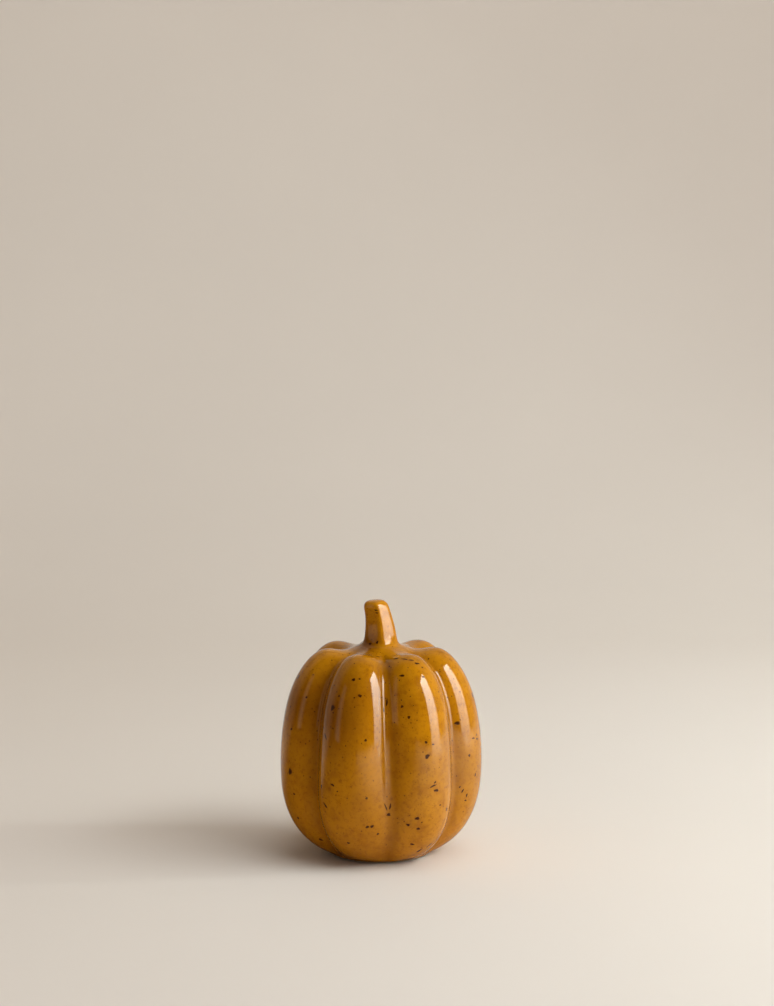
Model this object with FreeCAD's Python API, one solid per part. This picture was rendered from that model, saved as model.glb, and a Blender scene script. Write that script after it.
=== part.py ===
"""Slip-cast stoneware pumpkin with seven lobes, a leaning five-sided stem, a glaze skin and felt feet.

The origin is on the surface that the pumpkin stands on, under the middle of its outline. +Z is up and the
front faces -Y. Azimuths are in degrees about the axis, from the front (-Y) towards +X. All sizes are in millimetres.
"""

import FreeCAD
import Part
import math
import os

# Crest line of a lobe, from the foot to the neck: radius, height, and depth of the groove beside it.
CREST_STATIONS = [
    (20.5, 1.0, 0.0),
    (23.9, 2.5, 1.5),
    (33.4, 11.0, 4.2),
    (38.9, 24.4, 5.8),
    (40.0, 38.0, 6.9),
    (38.6, 54.8, 6.7),
    (32.3, 72.9, 5.6),
    (21.8, 81.6, 3.9),
    (13.9, 80.9, 0.8),
    (9.2, 81.9, 0.0),
]

# Stem, from the flare at the neck to the rounded top: radius, height, and how five-sided it is.
STEM_STATIONS = [
    (7.5, 82.8, 0.1),
    (6.4, 84.8, 0.7),
    (5.8, 88.0, 1.0),
    (5.25, 92.0, 1.0),
    (4.8, 96.0, 1.0),
    (4.4, 98.3, 0.9),
    (3.8, 99.2, 0.7),
    (2.8, 99.7, 0.5),
    (1.2, 99.9, 0.0),
]

# Where the axis stands: the deepest lobe is at the back, so the axis is a little in front of the middle.
AXIS_Y = -0.4

# Grooves between the lobes, which are a little uneven, as on a modelled original.
GROOVE_AZIMUTHS = [-150.5, -99.0, -47.5, 6.0, 56.5, 107.5, 159.5]
FRONT_GROOVE = 3
FRONT_GROOVE_DRIFT = 3.5

# Section of a lobe at a crest radius of 1: a round arc about a centre, with a fillet in each groove.
LOBE_CENTRE = 0.655
GROOVE_FILLET = 0.08
LOBE_SAMPLES = [0.0, 0.035, 0.07, 0.12, 0.19, 0.28, 0.39, 0.5, 0.61, 0.72, 0.81, 0.88, 0.93, 0.965]

STEM_SIDES = 5
STEM_CORNER_AZIMUTH = 6.0
STEM_FLATNESS = 0.062
STEM_CRISPNESS = 0.008
STEM_LEAN_START = 85.0
STEM_LEAN_RADIUS = 47.0
STEM_TIP_TILT = 5.5

GLAZE_THICKNESS = 0.5
WALL_THICKNESS = 4.5
CAVITY_GROOVE_SHARE = 0.8

FELT_THICKNESS = 0.6
FELT_RADIUS = 3.5
FELT_COUNT = 4
FELT_CIRCLE_RADIUS = 14.5
FELT_FIRST_AZIMUTH = 45.0

FOOT_OUTER_RADIUS = 18.5
FOOT_INNER_RADIUS = 10.5
FOOT_TOP = 2.5
FOOT_EDGE_RADIUS = 0.5
RECESS_TOP = 2.4
VENT_RADIUS = 1.5
VENT_TOP = 12.0

JOINT_HEIGHT = 82.0
SLIP_THICKNESS = 0.4
JOINT_ZONE_RADIUS = 11.0
ZONE_TOP = 110.0

CREST_LINE = [station[:2] for station in CREST_STATIONS]
STEM_LINE = [station[:2] for station in STEM_STATIONS]
STEM_TOP = STEM_LINE[-1][1]
PROFILE = CREST_LINE + STEM_LINE
NECK = len(CREST_STATIONS) - 1
UP = FreeCAD.Vector(0, 0, 1)


def polar(radius, azimuth, height, lean=0.0):
    """Point at a radius and azimuth about the axis, moved along X by a lean."""
    turn = math.radians(azimuth)
    return FreeCAD.Vector(lean + radius * math.sin(turn), AXIS_Y - radius * math.cos(turn), height)


def profile_normal(index):
    """Outward direction, as radius and height, square to the profile at a station."""
    before = PROFILE[max(index - 1, 0)]
    after = PROFILE[min(index + 1, len(PROFILE) - 1)]
    run = after[0] - before[0]
    rise = after[1] - before[1]
    length = math.hypot(run, rise)
    return rise / length, -run / length


def lobe_rise(fraction):
    """Height of a lobe's section, from 0 in the groove to 1 on the crest, across the lobe."""
    half = math.pi / len(GROOVE_AZIMUTHS)
    from_crest = abs(2 * fraction - 1) * half
    from_groove = half - from_crest
    arc_radius = 1 - LOBE_CENTRE
    side = LOBE_CENTRE * math.sin(half)
    reach = arc_radius + GROOVE_FILLET
    rise = math.sqrt(reach**2 - side**2)
    fillet_centre = LOBE_CENTRE * math.cos(half) + rise
    floor = fillet_centre - GROOVE_FILLET
    tangent_along = LOBE_CENTRE * math.cos(half) + rise * arc_radius / reach
    tangent_across = side * GROOVE_FILLET / reach
    if from_groove < math.atan2(tangent_across, tangent_along):
        offset = fillet_centre * math.sin(from_groove)
        radius = fillet_centre * math.cos(from_groove) - math.sqrt(GROOVE_FILLET**2 - offset**2)
    else:
        offset = LOBE_CENTRE * math.sin(from_crest)
        radius = LOBE_CENTRE * math.cos(from_crest) + math.sqrt(arc_radius**2 - offset**2)
    return (radius - floor) / (1 - floor)


def groove_azimuth(number, share):
    """Azimuth of a groove at a share of the way from the foot to the neck."""
    azimuth = GROOVE_AZIMUTHS[number % len(GROOVE_AZIMUTHS)]
    if number == FRONT_GROOVE:
        azimuth += FRONT_GROOVE_DRIFT * (1 - 2 * share)
    return azimuth + 360 * (number // len(GROOVE_AZIMUTHS))


def ring_samples(share):
    """Azimuth and lobe rise of each point round a ring."""
    samples = []
    for lobe in range(len(GROOVE_AZIMUTHS)):
        start = groove_azimuth(lobe, share)
        width = groove_azimuth(lobe + 1, share) - start
        for fraction in LOBE_SAMPLES:
            samples.append((start + width * fraction, lobe_rise(fraction)))
    return samples


def body_ring(index, inset, groove_share):
    """Lobed ring of the body at a station, moved inwards by an inset."""
    radius, height, depth = CREST_STATIONS[index]
    normal_r, normal_z = profile_normal(index)
    points = []
    for azimuth, rise in ring_samples(index / NECK):
        inward = inset + groove_share * depth * (1 - rise)
        points.append(polar(radius - inward * normal_r, azimuth, height - inward * normal_z))
    return points


def stem_ring(index, inset):
    """Five-sided ring of the stem at a station, moved inwards by an inset."""
    radius, height, flatness = STEM_STATIONS[index]
    normal_r, normal_z = profile_normal(len(CREST_STATIONS) + index)
    level = height - inset * normal_z
    bent = max(height - STEM_LEAN_START, 0)
    lean = -(bent**2) / (2 * STEM_LEAN_RADIUS)
    tilt = math.tan(math.radians(STEM_TIP_TILT)) * bent / (STEM_TOP - STEM_LEAN_START)
    points = []
    for azimuth, _ in ring_samples(1):
        turn = math.radians(STEM_SIDES * (azimuth - STEM_CORNER_AZIMUTH))
        corner = STEM_FLATNESS * math.cos(turn) + STEM_CRISPNESS * math.cos(2 * turn)
        side = radius * (1 + flatness * corner) - inset * normal_r
        point = polar(side, azimuth, level, lean)
        point.z += (point.x - lean) * tilt
        points.append(point)
    return points


def body_rings(inset, groove_share=1.0):
    return [body_ring(index, inset, groove_share) for index in range(len(CREST_STATIONS))]


def form_rings(inset):
    """Rings of the whole figure, from the foot to the top of the stem."""
    return body_rings(inset) + [stem_ring(index, inset) for index in range(len(STEM_STATIONS))]


def chord_parameters(points):
    """Running length along a row of points, from 0 to 1."""
    lengths = [0.0]
    for start, end in zip(points, points[1:]):
        lengths.append(lengths[-1] + start.distanceToPoint(end))
    return [length / lengths[-1] for length in lengths]


def skin_surface(rings):
    """Smooth closed surface through a stack of rings."""
    widest = rings[NECK // 2]
    around = chord_parameters(widest + widest[:1])
    upwards = chord_parameters([ring[len(LOBE_SAMPLES) // 2] for ring in rings])
    hoops = []
    for ring in rings:
        hoop = Part.BSplineCurve()
        hoop.interpolate(Points=ring, Parameters=around, PeriodicFlag=True)
        hoops.append(hoop)
    poles = []
    for column in zip(*[hoop.getPoles() for hoop in hoops]):
        rib = Part.BSplineCurve()
        rib.interpolate(Points=list(column), Parameters=upwards)
        poles.append(rib.getPoles())
    surface = Part.BSplineSurface()
    surface.buildFromPolesMultsKnots(
        poles,
        hoops[0].getMultiplicities(),
        rib.getMultiplicities(),
        hoops[0].getKnots(),
        rib.getKnots(),
        True,
        False,
        hoops[0].Degree,
        rib.Degree,
    )
    return surface


def end_edges(surface):
    """Closed edges at the lower and upper ends of a skin."""
    _, _, low, high = surface.bounds()
    return surface.vIso(low).toShape(), surface.vIso(high).toShape()


def flat_cap(edge):
    return Part.Face(Part.Wire([edge]))


def closed_solid(faces):
    """One solid inside a set of faces that share their edges."""
    shell = Part.makeShell(faces)
    shell.sewShape()
    solid = Part.makeSolid(Part.makeShell(shell.Faces))
    if solid.Volume < 0:
        solid.reverse()
    return solid


def ring_solid(rings):
    surface = skin_surface(rings)
    low, high = end_edges(surface)
    return closed_solid([surface.toShape(), flat_cap(low), flat_cap(high)])


def disc(radius, bottom, top, centre_radius=0.0, azimuth=0.0):
    return Part.makeCylinder(radius, top - bottom, polar(centre_radius, azimuth, bottom), UP)


def make_glaze_coat():
    """Skin between the glazed form and the clay form, closed by a narrow rim at the foot."""
    outer = skin_surface(form_rings(0))
    inner = skin_surface(form_rings(GLAZE_THICKNESS))
    outer_low, outer_high = end_edges(outer)
    inner_low, inner_high = end_edges(inner)
    rim = Part.makeRuledSurface(inner_low, outer_low)
    faces = [outer.toShape(), inner.toShape(), rim, flat_cap(outer_high), flat_cap(inner_high)]
    return closed_solid(faces)


def stem_zone(bottom, top):
    return disc(JOINT_ZONE_RADIUS, bottom, top)


def make_foot_ring():
    """Raised ring that the casting stands on, with its lower edges rounded off."""
    ring = disc(FOOT_OUTER_RADIUS, FELT_THICKNESS, FOOT_TOP).cut(disc(FOOT_INNER_RADIUS, 0, ZONE_TOP))
    lowest = FELT_THICKNESS + FOOT_EDGE_RADIUS
    lower_edges = [edge for edge in ring.Edges if edge.CenterOfMass.z < lowest]
    return ring.makeFillet(FOOT_EDGE_RADIUS, lower_edges)


def make_body_shell(clay):
    """Hollow casting with its foot ring, recessed base and vent."""
    recess = disc(FOOT_INNER_RADIUS, 0, RECESS_TOP)
    cavity = ring_solid(body_rings(GLAZE_THICKNESS + WALL_THICKNESS, CAVITY_GROOVE_SHARE))
    vent = disc(VENT_RADIUS, 0, VENT_TOP)
    body = clay.cut(stem_zone(JOINT_HEIGHT, ZONE_TOP))
    return body.fuse(make_foot_ring()).cut(recess).cut(cavity).cut(vent)


def make_stem(clay):
    return clay.common(stem_zone(JOINT_HEIGHT + SLIP_THICKNESS, ZONE_TOP))


def make_slip_joint(clay):
    return clay.common(stem_zone(JOINT_HEIGHT, JOINT_HEIGHT + SLIP_THICKNESS))


def make_felt_foot(number):
    azimuth = FELT_FIRST_AZIMUTH + number * 360 / FELT_COUNT
    return disc(FELT_RADIUS, 0, FELT_THICKNESS, FELT_CIRCLE_RADIUS, azimuth)


def single_solid(shape):
    """The one solid in a shape made by cutting and joining."""
    solids = shape.Solids
    assert len(solids) == 1, "expected one solid"
    return solids[0]


def main():
    clay = ring_solid(form_rings(GLAZE_THICKNESS))
    nodes = {
        "body_shell": make_body_shell(clay),
        "stem": make_stem(clay),
        "stem_slip_joint": make_slip_joint(clay),
        "glaze_coat": make_glaze_coat(),
    }
    for number in range(FELT_COUNT):
        nodes[f"felt_foot_{number + 1}"] = make_felt_foot(number)
    os.makedirs("parts", exist_ok=True)
    for name, shape in nodes.items():
        solid = single_solid(shape)
        solid.exportStep(f"parts/{name}.step")
        print(name, "valid" if solid.isValid() else "INVALID", round(solid.Volume, 1), "mm3")


main()
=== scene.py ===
"""Glazed stoneware pumpkin: its looks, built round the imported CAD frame. Blender units are metres."""
import math
import random

import bpy
import numpy as np
from mathutils import Matrix, Vector, noise
from mathutils.bvhtree import BVHTree


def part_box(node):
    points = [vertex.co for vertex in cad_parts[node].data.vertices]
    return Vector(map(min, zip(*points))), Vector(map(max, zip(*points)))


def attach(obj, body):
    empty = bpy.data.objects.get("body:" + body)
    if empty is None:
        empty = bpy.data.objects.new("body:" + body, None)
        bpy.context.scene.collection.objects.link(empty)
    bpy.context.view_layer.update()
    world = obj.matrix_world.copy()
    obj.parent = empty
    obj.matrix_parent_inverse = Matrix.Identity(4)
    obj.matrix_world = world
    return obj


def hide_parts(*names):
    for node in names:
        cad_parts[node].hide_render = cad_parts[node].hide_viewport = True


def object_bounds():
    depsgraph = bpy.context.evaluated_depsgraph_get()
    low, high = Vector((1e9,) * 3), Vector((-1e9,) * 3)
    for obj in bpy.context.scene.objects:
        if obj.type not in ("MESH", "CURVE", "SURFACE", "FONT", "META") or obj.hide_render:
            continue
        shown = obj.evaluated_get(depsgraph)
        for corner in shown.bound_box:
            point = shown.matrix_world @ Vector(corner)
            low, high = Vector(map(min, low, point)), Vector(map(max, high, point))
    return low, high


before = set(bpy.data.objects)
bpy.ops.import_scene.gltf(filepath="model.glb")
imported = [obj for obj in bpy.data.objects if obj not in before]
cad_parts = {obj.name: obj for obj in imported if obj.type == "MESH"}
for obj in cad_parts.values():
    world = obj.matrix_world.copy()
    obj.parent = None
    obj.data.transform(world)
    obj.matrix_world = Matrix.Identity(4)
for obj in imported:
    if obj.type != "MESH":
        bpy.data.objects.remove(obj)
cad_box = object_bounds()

MM = 0.001
SEED = 11
LEAST_LENGTH = 1e-12

# The camera: distance in metres, elevation in degrees, lens in mm, and its pitch up and turn in degrees.
CAMERA_DISTANCE = 0.85
CAMERA_ELEVATION = 12.0
CAMERA_LENS = 77.0
CAMERA_RAISE = 5.9
CAMERA_TURN = 0.18

# The CAD's crest line, from the foot to the neck: radius, height and depth of the groove, in mm.
CREST_STATIONS = [
    (20.5, 1.0, 0.0),
    (23.9, 2.5, 1.5),
    (33.4, 11.0, 4.2),
    (38.9, 24.4, 5.8),
    (40.0, 38.0, 6.9),
    (38.6, 54.8, 6.7),
    (32.3, 72.9, 5.6),
    (21.8, 81.6, 3.9),
    (13.9, 80.9, 0.8),
    (9.2, 81.9, 0.0),
]
# The CAD's stem, from the flare to the top: radius, height and how five-sided it is.
STEM_STATIONS = [
    (7.5, 82.8, 0.1),
    (6.4, 84.8, 0.7),
    (5.8, 88.0, 1.0),
    (5.25, 92.0, 1.0),
    (4.8, 96.0, 1.0),
    (4.4, 98.3, 0.9),
    (3.8, 99.2, 0.7),
    (2.8, 99.7, 0.5),
    (1.2, 99.9, 0.0),
]
AXIS_Y = -0.4
GROOVE_AZIMUTHS = [-150.5, -99.0, -47.5, 6.0, 56.5, 107.5, 159.5]
FRONT_GROOVE = 3
FRONT_GROOVE_DRIFT = 3.5
LOBE_CENTRE = 0.655
GROOVE_FILLET = 0.08
STEM_SIDES = 5
STEM_CORNER_AZIMUTH = 6.0
STEM_FLATNESS = 0.062
STEM_CRISPNESS = 0.008
STEM_LEAN_START = 85.0
STEM_LEAN_RADIUS = 47.0
STEM_TIP_TILT = 5.5
GLAZE_THICKNESS = 0.5

# Fineness of the glaze mesh.
COLUMNS_PER_LOBE = 44
COLUMN_CROWDING = 0.6
ROW_STEP = 0.85
INNER_ROW_STEP = 2.6
# Swells of the skin: height and length in mm, and the shift of the noise.
SWELLS = ((0.10, 17, (3.1, 0, 0)), (0.02, 6.5, (0, 7.7, 0)))
# Pooled glaze and painted groove shade: how narrow it is, and the distances from the axis it fades over.
POOL_SHADE_POWER = 3
POOL_SHADE_START = 12.0
POOL_SHADE_FULL = 22.0
# Rise of the middle of the stem's top, in mm.
CAP_SWELL = 0.02
# Rolled rim at the foot: rows of points, and how far it hangs in mm.
RIM_ROWS = 5
RIM_SWELL = 0.22


# ---------------------------------------------------------------- form of the glazed skin

def profile():
    """Radius and height of every station, from the foot to the top of the stem."""
    return np.array([station[:2] for station in CREST_STATIONS + STEM_STATIONS])


def profile_normals(line):
    """Outward direction square to the profile at each station."""
    before = np.vstack([line[:1], line[:-1]])
    after = np.vstack([line[1:], line[-1:]])
    along = after - before
    along /= np.linalg.norm(along, axis=1)[:, None]
    return np.stack([along[:, 1], -along[:, 0]], axis=1)


def lobe_rise(fraction):
    """Height of a lobe's section, from 0 in the groove to 1 on the crest."""
    half = math.pi / len(GROOVE_AZIMUTHS)
    from_crest = np.abs(2 * fraction - 1) * half
    from_groove = half - from_crest
    arc_radius = 1 - LOBE_CENTRE
    side = LOBE_CENTRE * math.sin(half)
    reach = arc_radius + GROOVE_FILLET
    rise = math.sqrt(reach**2 - side**2)
    fillet_centre = LOBE_CENTRE * math.cos(half) + rise
    floor = fillet_centre - GROOVE_FILLET
    tangent_along = LOBE_CENTRE * math.cos(half) + rise * arc_radius / reach
    tangent_across = side * GROOVE_FILLET / reach
    in_fillet = from_groove < math.atan2(tangent_across, tangent_along)
    hollow = np.maximum(GROOVE_FILLET**2 - (fillet_centre * np.sin(from_groove)) ** 2, 0)
    fillet = fillet_centre * np.cos(from_groove) - np.sqrt(hollow)
    swell = np.maximum(arc_radius**2 - (LOBE_CENTRE * np.sin(from_crest)) ** 2, 0)
    arc = LOBE_CENTRE * np.cos(from_crest) + np.sqrt(swell)
    return (np.where(in_fillet, fillet, arc) - floor) / (1 - floor)


def columns(share):
    """Azimuth in radians and lobe rise of each column of points, at a share of the way from foot to neck."""
    even = np.arange(COLUMNS_PER_LOBE) / COLUMNS_PER_LOBE
    fractions = even - COLUMN_CROWDING / (2 * math.pi) * np.sin(2 * math.pi * even)
    grooves = np.array(GROOVE_AZIMUTHS)
    grooves[FRONT_GROOVE] += FRONT_GROOVE_DRIFT * (1 - 2 * share)
    ends = np.append(grooves[1:], grooves[0] + 360)
    azimuths = (grooves[:, None] + (ends - grooves)[:, None] * fractions).ravel()
    return np.radians(azimuths), np.tile(lobe_rise(fractions), len(grooves))


def station_rings(inset):
    """Points of each station's ring, in mm, moved inwards by an inset."""
    line = profile()
    normals = profile_normals(line)
    neck = len(CREST_STATIONS) - 1
    rings = []
    for index, (radius, height) in enumerate(line):
        azimuths, rise = columns(min(index / neck, 1))
        normal_r, normal_z = normals[index]
        if index <= neck:
            inward = inset + CREST_STATIONS[index][2] * (1 - rise)
            radii = radius - inward * normal_r
            heights = height - inward * normal_z
            lean = 0.0
        else:
            flatness = STEM_STATIONS[index - neck - 1][2]
            turn = STEM_SIDES * (azimuths - math.radians(STEM_CORNER_AZIMUTH))
            corner = STEM_FLATNESS * np.cos(turn) + STEM_CRISPNESS * np.cos(2 * turn)
            radii = radius * (1 + flatness * corner) - inset * normal_r
            bent = max(height - STEM_LEAN_START, 0)
            lean = -(bent**2) / (2 * STEM_LEAN_RADIUS)
            tilt = math.tan(math.radians(STEM_TIP_TILT)) * bent / (STEM_STATIONS[-1][1] - STEM_LEAN_START)
            heights = height - inset * normal_z + radii * np.sin(azimuths) * tilt
        across = lean + radii * np.sin(azimuths)
        rings.append(np.stack([across, AXIS_Y - radii * np.cos(azimuths), heights], 1))
    return np.array(rings)


def spline_matrix(at, wanted):
    """Weights that turn values at knots into values of the smooth cubic through them."""
    count = len(at)
    step = np.diff(at)
    left = np.zeros((count, count))
    right = np.zeros((count, count))
    for i in range(1, count - 1):
        left[i, i - 1:i + 2] = step[i - 1], 2 * (step[i - 1] + step[i]), step[i]
        right[i, i - 1:i + 2] = 6 / step[i - 1], -6 / step[i - 1] - 6 / step[i], 6 / step[i]
    left[0, :3] = step[1], -(step[0] + step[1]), step[0]
    left[-1, -3:] = step[-1], -(step[-2] + step[-1]), step[-2]
    bend = np.linalg.solve(left, right)
    span = np.clip(np.searchsorted(at, wanted) - 1, 0, count - 2)
    width = step[span]
    low = (at[span + 1] - wanted) / width
    high = (wanted - at[span]) / width
    eye = np.eye(count)
    flat = low[:, None] * eye[span] + high[:, None] * eye[span + 1]
    curl = (low**3 - low)[:, None] * bend[span] + (high**3 - high)[:, None] * bend[span + 1]
    return flat + curl * (width**2)[:, None] / 6


def skin_grid(inset, row_step):
    """Grid of points of the skin in mm: rows from the foot to the top of the stem, columns round it."""
    rings = station_rings(inset)
    line = profile()
    lengths = np.linalg.norm(np.diff(line, axis=0), axis=1)
    at = np.concatenate([[0], np.cumsum(lengths)])
    rows = [0.0]
    for start, length in zip(at, lengths):
        count = max(3, math.ceil(length / row_step))
        rows.extend(start + length * (np.arange(count) + 1) / count)
    return np.einsum("rs,scx->rcx", spline_matrix(at, np.array(rows)), rings)


def grid_normals(grid):
    """Outward direction at each point of a closed grid."""
    around = np.roll(grid, -1, 1) - np.roll(grid, 1, 1)
    upwards = np.gradient(grid, axis=0)
    normals = np.cross(around, upwards)
    return normals / np.maximum(np.linalg.norm(normals, axis=2), LEAST_LENGTH)[:, :, None]


def waviness(point):
    """Slow swell of a hand-finished casting with a poured glaze, in mm."""
    place = Vector(point)
    return sum(size * noise.noise(place / length + Vector(shift)) for size, length, shift in SWELLS)


def add_mesh(name, points, faces):
    """New object from points in metres."""
    mesh = bpy.data.meshes.new(name)
    mesh.from_pydata([tuple(p) for p in points], [], faces)
    mesh.validate()
    mesh.update()
    mesh.shade_smooth()
    piece = bpy.data.objects.new(name, mesh)
    bpy.context.scene.collection.objects.link(piece)
    return piece


def quad_rows(first, count_rows, count_columns):
    """Faces of a grid of points that closes on itself round its columns."""
    faces = []
    for row in range(count_rows - 1):
        for column in range(count_columns):
            after = (column + 1) % count_columns
            a = first + row * count_columns + column
            b = first + row * count_columns + after
            faces.append((a, b, b + count_columns, a + count_columns))
    return faces


def make_glaze():
    """Closed skin: wavy outside, rolled rim at the foot, plain inside against the clay."""
    outer = skin_grid(0, ROW_STEP)
    normals = grid_normals(outer)
    waves = np.array([[waviness(p) for p in row] for row in outer])
    outer = outer + normals * waves[:, :, None]
    inner = skin_grid(GLAZE_THICKNESS, INNER_ROW_STEP)
    width = outer.shape[1]
    turn = np.linspace(0, math.pi, RIM_ROWS + 2)[1:-1]
    blend = (1 - np.cos(turn)) / 2
    rim = inner[0] + (outer[0] - inner[0]) * blend[:, None, None]
    rim[:, :, 2] -= RIM_SWELL * np.sin(turn)[:, None]
    grid = np.concatenate([inner[::-1], rim, outer])
    points = list(grid.reshape(-1, 3) * MM)
    faces = quad_rows(0, len(grid), width)
    bottom = len(points)
    points.append(grid[0].mean(0) * MM)
    top = len(points)
    points.append((grid[-1].mean(0) + (0, 0, CAP_SWELL)) * MM)
    last = (len(grid) - 1) * width
    for column in range(width):
        after = (column + 1) % width
        faces.append((after, column, bottom))
        faces.append((last + column, last + after, top))
    glaze = add_mesh("glaze_skin", points, faces)
    # Painted groove shade with pooled glaze: darker towards the bottom of each groove.
    pool_shade = (1 - columns(0)[1]) ** POOL_SHADE_POWER
    out = np.hypot(grid[:, :, 0], grid[:, :, 1] - AXIS_Y)
    pooled_shade = pool_shade * np.clip((out - POOL_SHADE_START) / (POOL_SHADE_FULL - POOL_SHADE_START), 0, 1)
    pooling_and_shade = glaze.data.attributes.new("pooling_and_shade", "FLOAT", "POINT")
    dry_caps = [0.0, 0.0]
    pooling_and_shade.data.foreach_set("value", list(pooled_shade.ravel()) + dry_caps)
    return glaze


# ---------------------------------------------------------------- specks and feet

# Iron specks on the front, placed as the viewer sees them: across and up from the middle of the
# figure, length and width in mm, and the turn of their long side in degrees.
FRONT_SPECKS = [
    (-18.7, 6.9, 2.3, 1.7, 75), (-18.5, 5.0, 0.8, 0.6, 0), (30.3, 0.9, 2.0, 1.3, 5),
    (18.5, -12.1, 1.8, 1.4, 30), (-35.3, -18.0, 2.0, 1.8, 90), (-21.5, -4.2, 2.3, 0.8, -50),
    (-22.3, -1.0, 1.2, 0.5, 80), (-21.5, -31.1, 2.4, 0.9, -38), (20.8, -23.6, 2.6, 0.6, 22),
    (22.0, -25.3, 2.2, 0.8, -8), (21.5, -22.2, 1.2, 0.5, 40), (8.6, 19.5, 1.9, 0.8, 0),
    (15.3, -48.6, 2.6, 0.9, 58), (19.2, -46.6, 2.6, 0.9, 55), (12.5, -46.2, 1.6, 0.8, -15),
    (-0.9, 27.0, 2.4, 0.7, -35), (2.6, 9.0, 2.5, 0.7, 80), (1.4, 6.0, 1.6, 0.5, 84),
    (2.2, -31.8, 2.8, 0.6, -62), (3.9, -31.6, 2.4, 0.6, 76), (3.3, -34.7, 1.5, 1.2, 0),
    (-5.0, -39.5, 1.2, 1.0, 0), (-3.2, -39.3, 1.2, 1.1, 40), (14.5, -36.2, 1.5, 1.2, 20),
    (10.9, -38.7, 1.2, 1.0, 0), (14.9, -40.2, 1.3, 0.9, -20), (32.3, -25.5, 1.5, 0.6, 60),
    (33.9, -27.2, 1.3, 0.7, 70), (33.4, -29.2, 1.0, 0.6, 0), (31.2, -24.0, 0.9, 0.5, 30),
    (36.6, -5.0, 1.6, 0.6, 0), (38.0, -5.2, 1.2, 0.6, 0), (37.8, -3.6, 0.8, 0.5, 60),
    (6.2, 26.2, 2.0, 0.7, 20), (9.6, 26.0, 2.1, 0.6, -8), (12.2, 25.6, 1.8, 0.6, -15),
    (14.5, 24.3, 1.7, 0.9, -20), (16.6, 22.8, 0.8, 0.5, 0), (-8.0, 11.6, 1.3, 1.0, 0),
    (-10.5, 17.9, 1.3, 1.0, 0), (-8.1, 18.2, 0.7, 0.6, 0), (-16.2, 11.5, 0.8, 0.7, 0),
    (-5.7, -5.8, 1.0, 0.9, 0), (8.6, 7.4, 1.0, 0.9, 0), (11.3, 3.2, 1.1, 0.9, 20),
    (18.0, -6.6, 1.0, 0.9, 0), (20.8, -7.4, 0.8, 0.6, 0), (17.0, 19.0, 0.9, 0.7, 0),
    (35.0, -11.7, 1.1, 0.9, 60), (37.3, -19.2, 1.1, 0.8, 70), (26.0, -32.6, 1.2, 0.8, 70),
    (23.5, -31.0, 0.8, 0.6, 0), (-34.9, -1.4, 1.0, 0.8, 0), (-29.0, 11.0, 0.8, 0.7, 0),
    (-33.7, -26.7, 1.0, 0.7, 0), (-32.1, -36.0, 1.1, 0.9, 40), (-23.0, -23.7, 1.0, 1.5, 0),
    (-18.7, -23.2, 1.6, 0.8, -20), (-12.4, -45.7, 1.1, 0.9, 0), (-23.2, -44.4, 1.6, 1.1, -35),
    (-5.3, -28.4, 0.9, 0.8, 0), (-0.9, -42.2, 1.0, 0.8, 0), (-1.6, 45.3, 1.4, 0.5, 0),
    (-1.3, 44.2, 1.2, 0.4, 0), (-4.0, 32.0, 1.3, 0.9, 20), (-1.2, 32.6, 1.2, 0.8, 60),
]
SPECK_CORNERS = 18
# Rings of a speck, from its edge inwards: share of its size, lift in mm, and how dark the stain is.
SPECK_RINGS = ((1.5, -0.012, 0.0), (1.2, 0.002, 0.25), (0.9, 0.008, 0.8), (0.5, 0.014, 1.0))
# Unevenness of a speck's outline: how many waves go round it, and their size.
SPECK_WAVES = ((2, 0.10), (3, 0.12), (5, 0.06))
SPECK_TOP = 0.017
SPECK_ROOT = -0.05
# Scattered specks: how many, their lengths in mm, and their widths as shares of the length.
LARGE_SPECKS = 46
LARGE_LENGTHS = (0.8, 1.8)
LARGE_SHARES = (0.3, 0.4, 0.75, 0.85, 0.9)
SMALL_SPECKS = 330
SMALL_LENGTHS = (0.22, 0.62)
SMALL_SHARES = (0.6, 1.0)
# The front, which has its own large specks, in degrees either side, and how far down the scatter goes.
FRONT_HALF_ANGLE = 72
SCATTER_FLOOR = -0.75
FIGURE_MIDDLE = 50.0
CAST_DISTANCE = 0.2


def add_speck(points, faces, stains, surface, start, direction, length, width, turn, dice):
    """Thin uneven lens of iron oxide, set in the surface that a line meets. Sizes are in mm."""
    hit, normal, _, _ = surface.ray_cast(start, direction)
    if hit is None:
        return
    side = Vector((0, 0, 1)).cross(normal).normalized()
    up = normal.cross(side)
    swing = math.radians(turn)
    along = side * math.cos(swing) + up * math.sin(swing)
    across = up * math.cos(swing) - side * math.sin(swing)
    waves = [(count, size, dice.uniform(0, 2 * math.pi)) for count, size in SPECK_WAVES]
    first = len(points)
    for share, lift, stain in SPECK_RINGS:
        stains.extend([stain] * SPECK_CORNERS)
        for corner in range(SPECK_CORNERS):
            angle = 2 * math.pi * corner / SPECK_CORNERS
            wobble = 1 + sum(size * math.cos(count * angle + phase) for count, size, phase in waves)
            reach = share * wobble * MM / 2
            out_along = along * (reach * length * math.cos(angle))
            out_across = across * (reach * width * math.sin(angle))
            near, near_normal, _, _ = surface.find_nearest(hit + out_along + out_across)
            points.append(near + near_normal * lift * MM)
    top = len(points)
    points.append(hit + normal * SPECK_TOP * MM)
    root = len(points)
    points.append(hit + normal * SPECK_ROOT * MM)
    stains.extend([1.0, 0.0])
    faces.extend(quad_rows(first, len(SPECK_RINGS), SPECK_CORNERS))
    last = first + (len(SPECK_RINGS) - 1) * SPECK_CORNERS
    for corner in range(SPECK_CORNERS):
        after = (corner + 1) % SPECK_CORNERS
        faces.append((last + corner, last + after, top))
        faces.append((first + after, first + corner, root))


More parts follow.
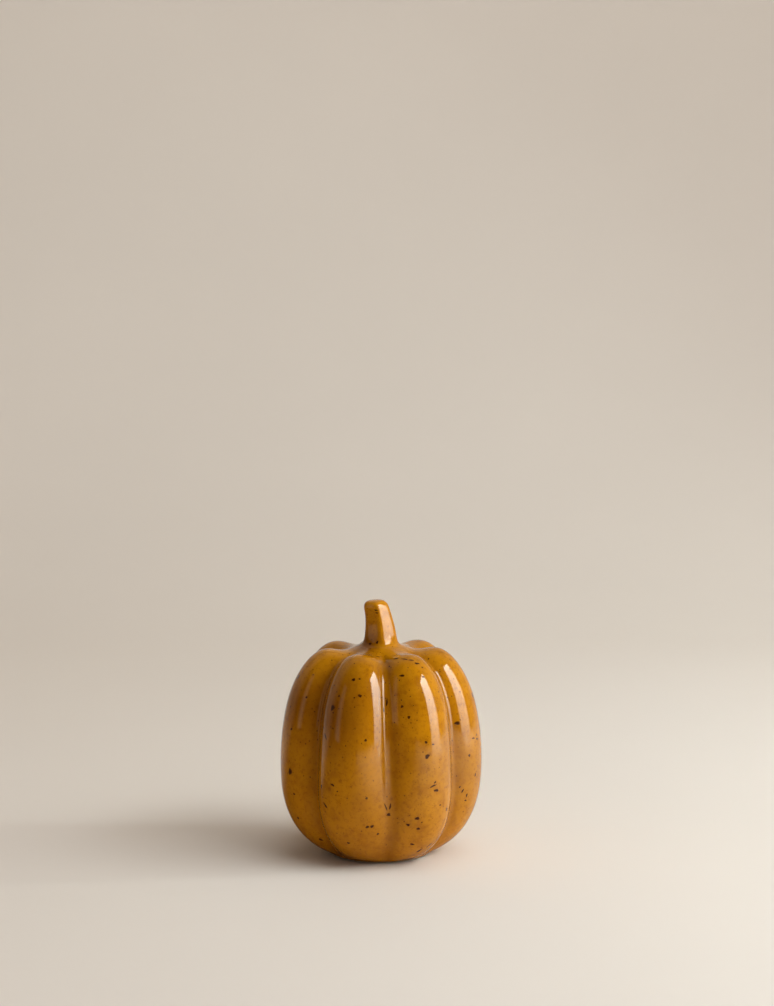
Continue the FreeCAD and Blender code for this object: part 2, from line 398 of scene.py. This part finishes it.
def make_specks(glaze):
    """Iron specks all over the glaze: the ones on the front listed one by one, the rest scattered by chance.
    """
    mesh = glaze.data
    surface = BVHTree.FromPolygons([v.co for v in mesh.vertices], [tuple(f.vertices) for f in mesh.polygons])
    dice = random.Random(SEED)
    points = []
    faces = []
    stains = []
    slope = math.radians(CAMERA_ELEVATION)
    outwards = Vector((0, -math.cos(slope), math.sin(slope)))
    upwards = Vector((0, math.sin(slope), math.cos(slope)))
    middle = Vector((0, 0, FIGURE_MIDDLE * MM))
    eye = middle + outwards * CAMERA_DISTANCE
    for right, rise, length, width, turn in FRONT_SPECKS:
        sight = middle + Vector((right * MM, 0, 0)) + upwards * rise * MM - eye
        add_speck(points, faces, stains, surface, eye, sight.normalized(), length, width, turn, dice)
    placed = 0
    while placed < LARGE_SPECKS + SMALL_SPECKS:
        out = Vector((dice.gauss(0, 1), dice.gauss(0, 1), dice.gauss(0, 1))).normalized()
        azimuth = math.degrees(math.atan2(out.x, -out.y))
        large = placed < LARGE_SPECKS
        if out.z < SCATTER_FLOOR or (large and abs(azimuth) < FRONT_HALF_ANGLE):
            continue
        if large:
            length = dice.uniform(*LARGE_LENGTHS)
            width = length * dice.choice(LARGE_SHARES)
        else:
            length = dice.uniform(*SMALL_LENGTHS)
            width = length * dice.uniform(*SMALL_SHARES)
        start = middle + out * CAST_DISTANCE
        add_speck(points, faces, stains, surface, start, -out, length, width, dice.uniform(0, 180), dice)
        placed += 1
    specks = add_mesh("iron_specks", points, faces)
    stain = specks.data.attributes.new("stain", "FLOAT", "POINT")
    stain.data.foreach_set("value", stains)
    return specks


# Section of a felt disc from its middle below to its middle above: shares of its radius and of its height.
FELT_PROFILE = (
    (0.0, 0.02), (0.55, 0.0), (0.90, 0.0), (0.975, 0.12), (1.0, 0.42), (0.99, 0.75), (0.95, 1.0), (0.5, 1.0),
    (0.0, 1.0),
)
FELT_COUNT = 4
FELT_COLUMNS = 72
FELT_RAGGED = 0.03
FELT_RAGGED_FROM = 0.9
FELT_FLUFF = 0.02


def make_felt_pad(node, number):
    """Cut disc of pressed felt, a little ragged at its edge, in the space of its CAD solid."""
    low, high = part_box(node)
    middle = (low + high) / 2
    radius = (high.x - low.x) / 2
    dice = random.Random(SEED + number)
    ragged = [1 - dice.uniform(0, FELT_RAGGED) for _ in range(FELT_COLUMNS)]
    points = []
    for share, level in FELT_PROFILE[1:-1]:
        for column in range(FELT_COLUMNS):
            angle = 2 * math.pi * column / FELT_COLUMNS
            reach = radius * share * (ragged[column] if share > FELT_RAGGED_FROM else 1)
            fluff = dice.uniform(-FELT_FLUFF, FELT_FLUFF) if 0 < level < 1 else 0
            height = low.z + (high.z - low.z) * (level + fluff)
            outwards = Vector((reach * math.cos(angle), reach * math.sin(angle), 0))
            points.append(Vector((middle.x, middle.y, height)) + outwards)
    faces = quad_rows(0, len(FELT_PROFILE) - 2, FELT_COLUMNS)
    bottom = len(points)
    points.append(Vector((middle.x, middle.y, low.z + (high.z - low.z) * FELT_PROFILE[0][1])))
    points.append(Vector((middle.x, middle.y, high.z)))
    last = (len(FELT_PROFILE) - 3) * FELT_COLUMNS
    for column in range(FELT_COLUMNS):
        after = (column + 1) % FELT_COLUMNS
        faces.append((after, column, bottom))
        faces.append((last + column, last + after, bottom + 1))
    return add_mesh("felt_pad_%d" % number, points, faces)


# ---------------------------------------------------------------- materials

class Nodes:
    """Short names for building a material's nodes."""

    def __init__(self, name):
        self.material = bpy.data.materials.new(name)
        self.material.use_nodes = True
        self.tree = self.material.node_tree
        self.shader = self.tree.nodes["Principled BSDF"]
        coordinates = self.tree.nodes.new("ShaderNodeTexCoord")
        self.place = coordinates.outputs["Object"]

    def link(self, source, target):
        self.tree.links.new(source, target)

    def node(self, kind, inputs=None, **settings):
        made = self.tree.nodes.new(kind)
        for key, value in settings.items():
            setattr(made, key, value)
        for key, value in (inputs or {}).items():
            if isinstance(value, bpy.types.NodeSocket):
                self.link(value, made.inputs[key])
            else:
                made.inputs[key].default_value = value
        return made

    def noise(self, scale, detail=2.0, roughness=0.5, offset=(0, 0, 0)):
        moved = self.node("ShaderNodeMapping", {"Vector": self.place, "Location": offset})
        made = self.node("ShaderNodeTexNoise", {
            "Vector": moved.outputs[0], "Scale": scale, "Detail": detail, "Roughness": roughness})
        return made.outputs["Fac"]

    def ramp(self, factor, stops):
        made = self.node("ShaderNodeValToRGB", {"Fac": factor})
        elements = made.color_ramp.elements
        while len(elements) < len(stops):
            elements.new(0.5)
        for element, (position, colour) in zip(elements, stops):
            element.position = position
            element.color = (*colour, 1)
        return made.outputs["Color"]

    def span(self, value, low, high, to_low=0.0, to_high=1.0, kind="SMOOTHSTEP"):
        made = self.node("ShaderNodeMapRange", {
            "Value": value, "From Min": low, "From Max": high, "To Min": to_low, "To Max": to_high})
        made.interpolation_type = kind
        return made.outputs["Result"]

    def maths(self, operation, first, second=0.0):
        made = self.node("ShaderNodeMath", {0: first, 1: second}, operation=operation)
        return made.outputs[0]

    def mix(self, factor, first, second):
        made = self.node("ShaderNodeMix", data_type="RGBA")
        for index, value in ((0, factor), (6, first), (7, second)):
            if isinstance(value, bpy.types.NodeSocket):
                self.link(value, made.inputs[index])
            else:
                made.inputs[index].default_value = value if index == 0 else (*value, 1)
        return made.outputs[2]

    def bump(self, height, distance, normal=None):
        made = self.node("ShaderNodeBump", {"Height": height, "Distance": distance})
        if normal is not None:
            self.link(normal, made.inputs["Normal"])
        return made.outputs["Normal"]


FRECKLE_CORE = 0.35


def freckles(kit, cells_per_metre, share, smallest, largest, offset):
    """Round specks of uneven size, one in a share of the cells. Sizes are in metres."""
    moved = kit.node("ShaderNodeMapping", {"Vector": kit.place, "Location": offset})
    cells = kit.node("ShaderNodeTexVoronoi", {"Vector": moved.outputs[0], "Scale": cells_per_metre})
    chance = kit.node("ShaderNodeSeparateColor", {"Color": cells.outputs["Color"]})
    radius = kit.span(chance.outputs["Red"], 1 - share, 1, smallest, largest)
    present = kit.maths("GREATER_THAN", chance.outputs["Red"], 1 - share)
    reach = kit.maths("MULTIPLY", radius, cells_per_metre)
    nearness = kit.maths("DIVIDE", cells.outputs["Distance"], reach)
    spot = kit.span(nearness, 1.0, FRECKLE_CORE)
    return kit.maths("MULTIPLY", spot, present)


# Range of most of a noise's values.
NOISE_SPAN = (0.3, 0.7)
# Noises: scale, detail and roughness.
GLAZE_DRIFT = (36, 3, 0.55)
GLOSS_NOISE = (220, 2)
WAVE_NOISE = (260, 1.5, 0.4)
PINHOLE_NOISE = (1300, 2, 0.5)
IRON_NOISE = (1500, 3, 0.6)
CLAY_GRAIN = (1800, 4, 0.7)
CLAY_CLOUD = (60, 3, 0.5)
FELT_GRAIN = (5200, 4, 0.8)
FELT_CLOUD = (500, 3, 0.6)
PAPER_CLOUD = (3.0, 3, 0.5)

# Amber glaze: place along the slow drift of tone, and colour.
AMBER = (
    (0.30, (0.376, 0.155, 0.0018)),
    (0.50, (0.453, 0.190, 0.0026)),
    (0.70, (0.522, 0.224, 0.0042)),
)
# Browner patches, partly the glaze's own tone and partly painted shade: middle and reach in metres, and
# strength.
BROWN_AND_SHADE_PATCHES = (
    # Painted shade with browner glaze on the upper left, the side away from the lights.
    ((-0.019, -0.032, 0.061), 0.027, 0.80),
    ((-0.033, -0.014, 0.062), 0.020, 0.55),
    # Painted shade in the hollow where the stem meets the body.
    ((-0.0060, -0.0070, 0.0835), 0.0085, 1.0),
)
# Colour of the browner patches and their painted shade.
PATCH_AND_SHADE_BROWN = (0.150, 0.045, 0.0010)
# Painted groove shade with pooled glaze: strength and colour.
POOL_SHADE_STRENGTH = 0.38
POOL_SHADE_BROWN = (0.140, 0.040, 0.0010)
# Brown noise in the glaze: scale, detail, roughness, shift, start, full, strength, colour.
BROWN_NOISE = (
    (170, 4, 0.65, (0.3, 0.1, 0), 0.42, 0.72, 0.36, (0.215, 0.062, 0.0012)),
    (640, 4, 0.70, (0.1, 0.5, 0.2), 0.48, 0.74, 0.46, (0.175, 0.048, 0.0012)),
)
# Freckles in the glaze: cells per metre, share of them, smallest and largest radius, shift, strength, colour.
BROWN_FRECKLES = (
    (210, 0.60, 0.00040, 0.00110, (0, 0, 0.031), 0.36, (0.16, 0.046, 0.0012)),
    (430, 0.70, 0.00014, 0.00048, (0, 0.023, 0), 0.78, (0.10, 0.029, 0.0014)),
    (820, 0.80, 0.00008, 0.00026, (0.011, 0, 0), 0.62, (0.09, 0.028, 0.0014)),
)
GLAZE_IOR = 1.52
GLAZE_ROUGHNESS = (0.055, 0.095)
GLAZE_TINT = (1.0, 1.0, 0.94, 1)
GLAZE_WAVE = 0.00004
GLAZE_PINHOLE = 0.000004


def glaze_colour(kit):
    """Amber glaze: slow drifts, browner patches and pools with painted shade, brown clouds and rusty
    freckles.
    """
    tone = kit.ramp(kit.noise(*GLAZE_DRIFT), AMBER)
    # Browner patches that also paint shade on the upper left and at the stem's base.
    for middle, reach, strength in BROWN_AND_SHADE_PATCHES:
        measure = kit.node("ShaderNodeVectorMath", {0: kit.place, 1: middle}, operation="DISTANCE")
        patch_and_shade = kit.span(measure.outputs["Value"], reach, 0, 0, strength)
        tone = kit.mix(patch_and_shade, tone, PATCH_AND_SHADE_BROWN)
    # Grooves darkened: painted shade with pooled glaze.
    pooling_and_shade = kit.node("ShaderNodeAttribute", attribute_name="pooling_and_shade").outputs["Fac"]
    tone = kit.mix(kit.maths("MULTIPLY", pooling_and_shade, POOL_SHADE_STRENGTH), tone, POOL_SHADE_BROWN)
    for scale, detail, roughness, shift, start, full, strength, colour in BROWN_NOISE:
        brown = kit.noise(scale, detail, roughness, offset=shift)
        tone = kit.mix(kit.span(brown, start, full, 0, strength), tone, colour)
    for cells, share, smallest, largest, shift, strength, colour in BROWN_FRECKLES:
        spots = freckles(kit, cells, share, smallest, largest, shift)
        tone = kit.mix(kit.maths("MULTIPLY", spots, strength), tone, colour)
    return tone


def glaze_gloss(kit):
    """Deep gloss with the slight ripple and pinholes of a fired glaze."""
    kit.link(kit.span(kit.noise(*GLOSS_NOISE), *NOISE_SPAN, *GLAZE_ROUGHNESS), kit.shader.inputs["Roughness"])
    kit.shader.inputs["IOR"].default_value = GLAZE_IOR
    kit.shader.inputs["Specular Tint"].default_value = GLAZE_TINT
    waves = kit.bump(kit.noise(*WAVE_NOISE), GLAZE_WAVE)
    kit.link(kit.bump(kit.noise(*PINHOLE_NOISE), GLAZE_PINHOLE, waves), kit.shader.inputs["Normal"])


def glaze_material():
    """Glossy amber glaze."""
    kit = Nodes("amber_glaze")
    kit.link(glaze_colour(kit), kit.shader.inputs["Base Color"])
    glaze_gloss(kit)
    return kit.material


IRON_BLOTCH = ((0.35, (0.024, 0.008, 0.0016)), (0.7, (0.075, 0.023, 0.003)))
IRON_RUST = (0.15, 0.045, 0.002)
# How dark the stain is where the rust starts and is full, and where the iron does.
RUST_SPAN = (0.0, 0.5)
IRON_SPAN = (0.3, 1.0)
IRON_SHINE = 0.3


def speck_material():
    """The same glaze, stained by iron oxide: rusty at a speck's edge and nearly black in its middle."""
    kit = Nodes("iron_oxide")
    stain = kit.node("ShaderNodeAttribute", attribute_name="stain").outputs["Fac"]
    blotch = kit.ramp(kit.noise(*IRON_NOISE), IRON_BLOTCH)
    rusty = kit.mix(kit.span(stain, *RUST_SPAN), glaze_colour(kit), IRON_RUST)
    kit.link(kit.mix(kit.span(stain, *IRON_SPAN), rusty, blotch), kit.shader.inputs["Base Color"])
    glaze_gloss(kit)
    kit.shader.inputs["Specular IOR Level"].default_value = IRON_SHINE
    return kit.material


CLAY = ((0.35, (0.42, 0.29, 0.18)), (0.65, (0.56, 0.42, 0.28)))
CLAY_GRIT = (0.30, 0.19, 0.11)
CLAY_GRIT_SPAN = (0.5, 0.75, 0, 0.5)
CLAY_FRECKLES = (700, 0.12, 0.0001, 0.0003, (0, 0, 0.01))
CLAY_SPECK = (0.08, 0.045, 0.03)
CLAY_ROUGHNESS = (0.72, 0.9)
CLAY_BUMP = 0.00008


def bisque_material():
    """Bare fired clay: gritty, matt and lightly specked."""
    kit = Nodes("bisque_clay")
    grit = kit.noise(*CLAY_GRAIN)
    tone = kit.ramp(kit.noise(*CLAY_CLOUD), CLAY)
    gritty = kit.mix(kit.span(grit, *CLAY_GRIT_SPAN), tone, CLAY_GRIT)
    specks = freckles(kit, *CLAY_FRECKLES)
    kit.link(kit.mix(specks, gritty, CLAY_SPECK), kit.shader.inputs["Base Color"])
    kit.link(kit.span(grit, *NOISE_SPAN, *CLAY_ROUGHNESS), kit.shader.inputs["Roughness"])
    kit.link(kit.bump(grit, CLAY_BUMP), kit.shader.inputs["Normal"])
    return kit.material


FELT = ((0.3, (0.050, 0.034, 0.024)), (0.7, (0.095, 0.068, 0.048)))
FELT_FIBRE = (0.16, 0.12, 0.09)
FELT_FIBRE_SPAN = (0.45, 0.7, 0, 0.6)
FELT_ROUGHNESS = 0.95
FELT_SHEEN = 0.4
FELT_BUMP = 0.0001


def felt_material():
    """Pressed brown felt with pale fibres."""
    kit = Nodes("brown_felt")
    fibres = kit.noise(*FELT_GRAIN)
    tone = kit.ramp(kit.noise(*FELT_CLOUD), FELT)
    fibrous = kit.mix(kit.span(fibres, *FELT_FIBRE_SPAN), tone, FELT_FIBRE)
    kit.link(fibrous, kit.shader.inputs["Base Color"])
    kit.shader.inputs["Roughness"].default_value = FELT_ROUGHNESS
    kit.shader.inputs["Sheen Weight"].default_value = FELT_SHEEN
    kit.link(kit.bump(fibres, FELT_BUMP), kit.shader.inputs["Normal"])
    return kit.material


def paint(piece, material):
    """Give a piece one material."""
    piece.data.materials.clear()
    piece.data.materials.append(material)


# ---------------------------------------------------------------- stage

# Paper of the floor and backdrop, and its tones as bounced light and as mirrored in the glaze.
PAPER = (0.725, 0.716, 0.690)
PAPER_MOTTLE = 0.015
PAPER_ROUGHNESS = 0.85
PAPER_SHINE = 0.15
BOUNCED = (0.90, 0.80, 0.66)
MIRRORED_LEFT = (0.16, 0.10, 0.04)
MIRRORED_RIGHT = (1.0, 0.92, 0.78)
MIRRORED_SPAN = (-0.08, 0.15)
MIRRORED_DEPTH = (0.0, 0.14)


def paper_material():
    """Matt paper. Mirrored in the glaze, the part in front of the figure is dim on the left."""
    kit = Nodes("pale_backdrop")
    path = kit.node("ShaderNodeLightPath")
    light = tuple(channel * (1 + PAPER_MOTTLE) for channel in PAPER)
    dark = tuple(channel * (1 - PAPER_MOTTLE) for channel in PAPER)
    paper = kit.ramp(kit.noise(*PAPER_CLOUD), tuple(zip(NOISE_SPAN, (dark, light))))
    split = kit.node("ShaderNodeSeparateXYZ", {0: kit.place})
    mirrored = kit.mix(kit.span(split.outputs["X"], *MIRRORED_SPAN), MIRRORED_LEFT, MIRRORED_RIGHT)
    mirrored = kit.mix(kit.span(split.outputs["Y"], *MIRRORED_DEPTH), mirrored, paper)
    bounced = kit.mix(path.outputs["Is Diffuse Ray"], paper, BOUNCED)
    kit.link(kit.mix(path.outputs["Is Glossy Ray"], bounced, mirrored), kit.shader.inputs["Base Color"])
    kit.shader.inputs["Roughness"].default_value = PAPER_ROUGHNESS
    kit.shader.inputs["Specular IOR Level"].default_value = PAPER_SHINE
    return kit.material


# Shape of the sweep, seen from the side, in metres.
FLOOR_FRONT = -2.6
FLOOR_ROWS_FRONT = -1.2
FLOOR_ROWS = 12
SWEEP_START = 0.45
SWEEP_RADIUS = 0.9
SWEEP_ROWS = 24
WALL_TOP = 2.6
STAGE_HALF_WIDTH = 3.0


def make_stage():
    """Pale floor that sweeps up into a backdrop behind the object."""
    line = [(FLOOR_FRONT, 0.0)]
    line += [(y, 0.0) for y in np.linspace(FLOOR_ROWS_FRONT, SWEEP_START, FLOOR_ROWS)]
    for turn in np.linspace(0, math.pi / 2, SWEEP_ROWS)[1:]:
        line.append((SWEEP_START + SWEEP_RADIUS * math.sin(turn), SWEEP_RADIUS * (1 - math.cos(turn))))
    line.append((SWEEP_START + SWEEP_RADIUS, WALL_TOP))
    points = [(x, y, z) for y, z in line for x in (-STAGE_HALF_WIDTH, STAGE_HALF_WIDTH)]
    faces = [(2 * i, 2 * i + 1, 2 * i + 3, 2 * i + 2) for i in range(len(line) - 1)]
    floor = add_mesh("studio_sweep", points, faces)
    paint(floor, paper_material())


def turn_towards(thing, target):
    """Turn a lamp or panel, whose front is -Z, to face a place."""
    direction = Vector(target) - thing.location
    thing.rotation_euler = direction.to_track_quat("-Z", "Y").to_euler()


def panel_material(name, low_radiance, high_radiance, colour, soft_edge):
    """Light of a diffuser that grows brighter upwards and fades towards its sides."""
    kit = Nodes(name)
    place = kit.node("ShaderNodeSeparateXYZ", {0: kit.place})
    glow = kit.span(place.outputs["Y"], -0.5, 0.5, low_radiance, high_radiance, "LINEAR")
    inside = kit.maths("SUBTRACT", 0.5, kit.maths("ABSOLUTE", place.outputs["X"]))
    radiance = kit.maths("MULTIPLY", glow, kit.span(inside, 0.0, soft_edge))
    lamp = kit.node("ShaderNodeEmission", {"Color": (*colour, 1), "Strength": radiance})
    output = kit.tree.nodes["Material Output"]
    kit.link(lamp.outputs[0], output.inputs["Surface"])
    return kit.material


UNIT_SQUARE = ((-0.5, -0.5, 0), (0.5, -0.5, 0), (0.5, 0.5, 0), (-0.5, 0.5, 0))


def add_panel(name, azimuth, distance, bottom, top, width, material):
    """Upright diffuser at an azimuth and distance from the object, facing it."""
    panel = add_mesh(name, UNIT_SQUARE, [(0, 1, 2, 3)])
    turn = math.radians(azimuth)
    middle = (bottom + top) / 2
    panel.location = (distance * math.sin(turn), -distance * math.cos(turn), middle)
    turn_towards(panel, (0, 0, middle))
    panel.scale = (width, top - bottom, 1)
    panel.visible_camera = False
    panel.visible_diffuse = False
    paint(panel, material)


def add_wash(name, place, target, width, depth, radiance, spread, colour):
    """Soft rectangular light that fills without a reflection of its own."""
    light = bpy.data.lights.new(name, "AREA")
    light.shape = "RECTANGLE"
    light.size = width
    light.size_y = depth
    light.energy = radiance * math.pi * width * depth
    light.spread = math.radians(spread)
    light.color = colour
    lamp = bpy.data.objects.new(name, light)
    bpy.context.scene.collection.objects.link(lamp)
    lamp.location = place
    turn_towards(lamp, target)
    lamp.visible_camera = False
    lamp.visible_glossy = False


# Diffusers: azimuth, distance, bottom, top, width; name of the light, its radiance below and above, colour,
# and how softly its sides fade.
PANELS = (
    ("key_panel", 71, 0.80, 0.0, 0.92, 0.54, "key_diffuser", 3.0, 13.5, (1.0, 1.0, 0.97), 0.12),
    ("left_panel", -62, 1.1, 0.05, 1.0, 0.55, "left_diffuser", 0.55, 0.35, (1.0, 0.94, 0.86), 0.5),
)
FIGURE_HEART = (0, 0, 0.05)
WASH_WHITE = (1.0, 1.0, 0.98)
# Soft lights: place, target, width, depth, radiance, spread in degrees, colour.
WASHES = (
    ("low_light", (0.90, -0.20, 0.27), FIGURE_HEART, 0.5, 0.3, 15.0, 100, (1.0, 1.06, 1.0)),
    ("side_light", (0.80, -0.25, 0.50), FIGURE_HEART, 0.5, 0.6, 9.0, 180, WASH_WHITE),
    ("front_light", (0.50, -0.50, 0.69), FIGURE_HEART, 0.35, 0.35, 4.2, 180, WASH_WHITE),
    ("top_light", (0.15, -0.21, 1.53), FIGURE_HEART, 0.9, 0.9, 1.6, 180, WASH_WHITE),
    ("backdrop_wash", (0, 0.55, 1.7), (0, 1.25, 0.35), 2.0, 0.5, 0.24, 80, WASH_WHITE),
)


def make_lights():
    """Two diffusers that the glaze mirrors, and the soft lights that do their lighting."""
    for name, azimuth, distance, bottom, top, width, light, low, high, colour, fade in PANELS:
        glow = panel_material(light, low, high, colour, fade)
        add_panel(name, azimuth, distance, bottom, top, width, glow)
    for wash in WASHES:
        add_wash(*wash)


# The surroundings: two directions and the strengths there, from left to right as light and from front to back
# as mirrored, and one strength as the camera sees them.
WORLD_LIT = (-0.25, 1.0, 0.14, 1.15)
WORLD_MIRRORED = (-0.1, 0.5, 0.02, 0.55)
WORLD_SEEN = 0.66
WORLD_COLOUR = (1.0, 0.82, 0.68, 1)


def make_world():
    """Soft light, stronger from the right; in reflections, bright behind the object and dark in front."""
    world = bpy.data.worlds.new("studio")
    bpy.context.scene.world = world
    world.use_nodes = True
    tree = world.node_tree
    tree.nodes.clear()

    def node(kind, **settings):
        made = tree.nodes.new(kind)
        for key, value in settings.items():
            setattr(made, key, value)
        return made

    def choose(factor, plain, special):
        made = node("ShaderNodeMix", data_type="FLOAT")
        tree.links.new(factor, made.inputs[0])
        for slot, value in ((2, plain), (3, special)):
            if isinstance(value, bpy.types.NodeSocket):
                tree.links.new(value, made.inputs[slot])
            else:
                made.inputs[slot].default_value = value
        return made.outputs[0]

    coordinates = node("ShaderNodeTexCoord")
    split = node("ShaderNodeSeparateXYZ")
    tree.links.new(coordinates.outputs["Generated"], split.inputs[0])

    def along(axis, low, high, to_low, to_high):
        made = node("ShaderNodeMapRange")
        for key, value in (("From Min", low), ("From Max", high), ("To Min", to_low), ("To Max", to_high)):
            made.inputs[key].default_value = value
        tree.links.new(split.outputs[axis], made.inputs["Value"])
        return made.outputs["Result"]

    path = node("ShaderNodeLightPath")
    lit = along("X", *WORLD_LIT)
    mirrored = choose(path.outputs["Is Glossy Ray"], lit, along("Y", *WORLD_MIRRORED))
    seen = choose(path.outputs["Is Camera Ray"], mirrored, WORLD_SEEN)
    background = node("ShaderNodeBackground")
    background.inputs["Color"].default_value = WORLD_COLOUR
    tree.links.new(seen, background.inputs["Strength"])
    output = node("ShaderNodeOutputWorld")
    tree.links.new(background.outputs[0], output.inputs["Surface"])


def make_camera(centre):
    """Camera a little above the object's level, pitched up so that the object stands low in the frame."""
    data = bpy.data.cameras.new("camera")
    data.lens = CAMERA_LENS
    camera = bpy.data.objects.new("camera", data)
    bpy.context.scene.collection.objects.link(camera)
    elevation = math.radians(CAMERA_ELEVATION)
    back = Vector((0, -math.cos(elevation), math.sin(elevation)))
    camera.location = centre + back * CAMERA_DISTANCE
    level = (-back).to_track_quat("-Z", "Y").to_matrix().to_4x4()
    raise_view = Matrix.Rotation(math.radians(CAMERA_RAISE), 4, "X")
    turn_view = Matrix.Rotation(-math.radians(CAMERA_TURN), 4, "Y")
    camera.rotation_euler = (level @ turn_view @ raise_view).to_euler()
    bpy.context.scene.camera = camera


# ---------------------------------------------------------------- build

make_camera(Vector((0, 0, cad_box[1].z / 2)))
bpy.context.scene.view_settings.view_transform = "Standard"
make_stage()
make_lights()
make_world()

glaze = make_glaze()
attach(glaze, "root")
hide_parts("glaze_coat")
paint(glaze, glaze_material())

specks = make_specks(glaze)
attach(specks, "root")
paint(specks, speck_material())

bisque = bisque_material()
for node in ("body_shell", "stem", "stem_slip_joint"):
    paint(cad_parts[node], bisque)
felt = felt_material()
for number in range(1, FELT_COUNT + 1):
    node = "felt_foot_%d" % number
    pad = make_felt_pad(node, number)
    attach(pad, "root")
    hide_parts(node)
    paint(pad, felt)
